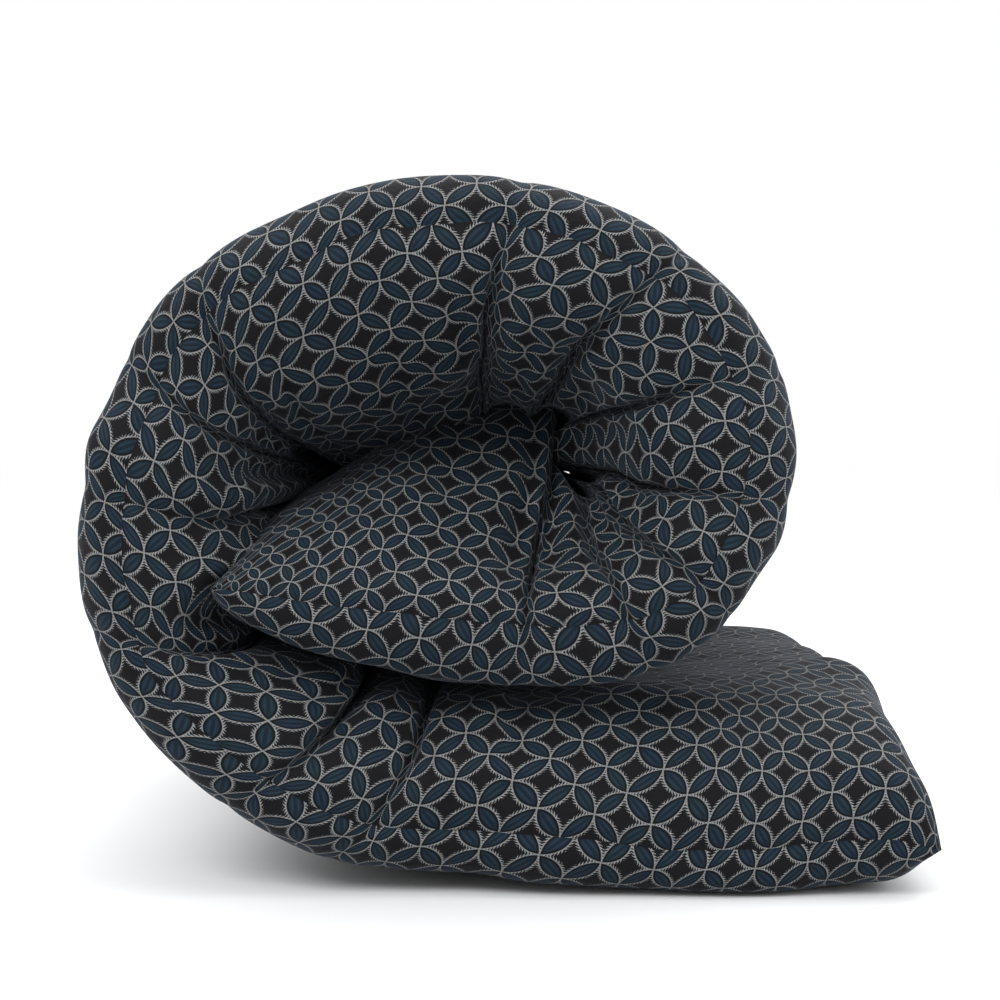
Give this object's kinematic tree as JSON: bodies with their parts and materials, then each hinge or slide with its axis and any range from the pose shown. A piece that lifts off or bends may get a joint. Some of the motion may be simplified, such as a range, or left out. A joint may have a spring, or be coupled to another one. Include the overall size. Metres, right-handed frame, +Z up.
{
  "type": "futon mattress",
  "caption": "Long padded floor futon in a patterned cotton cover, rolled up on its own free end and able to unroll flat",
  "frame": {"origin": "centre of the bounding box, on the floor that the rolled mattress lies on", "axes": "+X to the right with the roll seen from its end and the free end to the right, +Y across the width of the mattress, away from the viewer, +Z up"},
  "size_m": [0.599, 0.7, 0.5087],
  "materials": {
    "cover": "woven cotton, near-black with a navy and grey interlocking-circle print",
    "batting": "off-white cotton batting"
  },
  "bodies": {
    "section_01": {"outer_panel_01": "cover", "inner_panel_01": "cover", "batting_01": "batting"},
    "section_02": {"outer_panel_02": "cover", "inner_panel_02": "cover", "batting_02": "batting"},
    "section_03": {"outer_panel_03": "cover", "inner_panel_03": "cover", "batting_03": "batting"},
    "section_04": {"outer_panel_04": "cover", "inner_panel_04": "cover", "batting_04": "batting"},
    "section_05": {"outer_panel_05": "cover", "inner_panel_05": "cover", "batting_05": "batting"},
    "section_06": {"outer_panel_06": "cover", "inner_panel_06": "cover", "batting_06": "batting"},
    "section_07": {"outer_panel_07": "cover", "inner_panel_07": "cover", "batting_07": "batting"},
    "section_08": {"outer_panel_08": "cover", "inner_panel_08": "cover", "batting_08": "batting"},
    "section_09": {"outer_panel_09": "cover", "inner_panel_09": "cover", "batting_09": "batting"},
    "section_10": {"outer_panel_10": "cover", "inner_panel_10": "cover", "batting_10": "batting"},
    "section_11": {"outer_panel_11": "cover", "inner_panel_11": "cover", "batting_11": "batting"},
    "section_12": {"outer_panel_12": "cover", "inner_panel_12": "cover", "batting_12": "batting"},
    "section_13": {"outer_panel_13": "cover", "inner_panel_13": "cover", "batting_13": "batting"},
    "section_14": {"outer_panel_14": "cover", "inner_panel_14": "cover", "batting_14": "batting"}
  },
  "joints": [
    {"name": "unroll_01", "type": "hinge", "parent": "section_01", "child": "section_02", "pos_m": [-0.11803, 0, 0.00949], "axis": [0, -1, 0], "range_deg": [0, 26.5]},
    {"name": "unroll_02", "type": "hinge", "parent": "section_02", "child": "section_03", "pos_m": [-0.19982, 0, 0.0539], "axis": [0, -1, 0], "range_deg": [0, 30.5]},
    {"name": "unroll_03", "type": "hinge", "parent": "section_03", "child": "section_04", "pos_m": [-0.28833, 0, 0.19283], "axis": [0, -1, 0], "range_deg": [0, 26.5]},
    {"name": "unroll_04", "type": "hinge", "parent": "section_04", "child": "section_05", "pos_m": [-0.29886, 0, 0.29299], "axis": [0, -1, 0], "range_deg": [0, 21.5]},
    {"name": "unroll_05", "type": "hinge", "parent": "section_05", "child": "section_06", "pos_m": [-0.27189, 0, 0.38119], "axis": [0, -1, 0], "range_deg": [0, 24]},
    {"name": "unroll_06", "type": "hinge", "parent": "section_06", "child": "section_07", "pos_m": [-0.21207, 0, 0.44763], "axis": [0, -1, 0], "range_deg": [0, 36.5]},
    {"name": "unroll_07", "type": "hinge", "parent": "section_07", "child": "section_08", "pos_m": [0.01502, 0, 0.50636], "axis": [0, -1, 0], "range_deg": [0, 40.5]},
    {"name": "unroll_08", "type": "hinge", "parent": "section_08", "child": "section_09", "pos_m": [0.13021, 0, 0.45982], "axis": [0, -1, 0], "range_deg": [0, 30.5]},
    {"name": "unroll_09", "type": "hinge", "parent": "section_09", "child": "section_10", "pos_m": [0.19035, 0, 0.37704], "axis": [0, -1, 0], "range_deg": [0, 29]},
    {"name": "unroll_10", "type": "hinge", "parent": "section_10", "child": "section_11", "pos_m": [0.19904, 0, 0.27774], "axis": [0, -1, 0], "range_deg": [0, 30.5]},
    {"name": "unroll_11", "type": "hinge", "parent": "section_11", "child": "section_12", "pos_m": [0.15796, 0, 0.19161], "axis": [0, -1, 0], "range_deg": [0, 29.5]},
    {"name": "unroll_12", "type": "hinge", "parent": "section_12", "child": "section_13", "pos_m": [0.09981, 0, 0.15014], "axis": [0, -1, 0], "range_deg": [0, 23.5]},
    {"name": "unroll_13", "type": "hinge", "parent": "section_13", "child": "section_14", "pos_m": [0.01563, 0, 0.13529], "axis": [0, -1, 0], "range_deg": [0, 24]}
  ],
  "couplings": [
    {"joint": "unroll_02", "follows": "unroll_01", "ratio": 1.1509},
    {"joint": "unroll_03", "follows": "unroll_01", "ratio": 1},
    {"joint": "unroll_04", "follows": "unroll_01", "ratio": 0.81132},
    {"joint": "unroll_05", "follows": "unroll_01", "ratio": 0.90566},
    {"joint": "unroll_06", "follows": "unroll_01", "ratio": 1.3774},
    {"joint": "unroll_07", "follows": "unroll_01", "ratio": 1.5283},
    {"joint": "unroll_08", "follows": "unroll_01", "ratio": 1.1509},
    {"joint": "unroll_09", "follows": "unroll_01", "ratio": 1.0943},
    {"joint": "unroll_10", "follows": "unroll_01", "ratio": 1.1509},
    {"joint": "unroll_11", "follows": "unroll_01", "ratio": 1.1132},
    {"joint": "unroll_12", "follows": "unroll_01", "ratio": 0.88679},
    {"joint": "unroll_13", "follows": "unroll_01", "ratio": 0.90566}
  ]
}
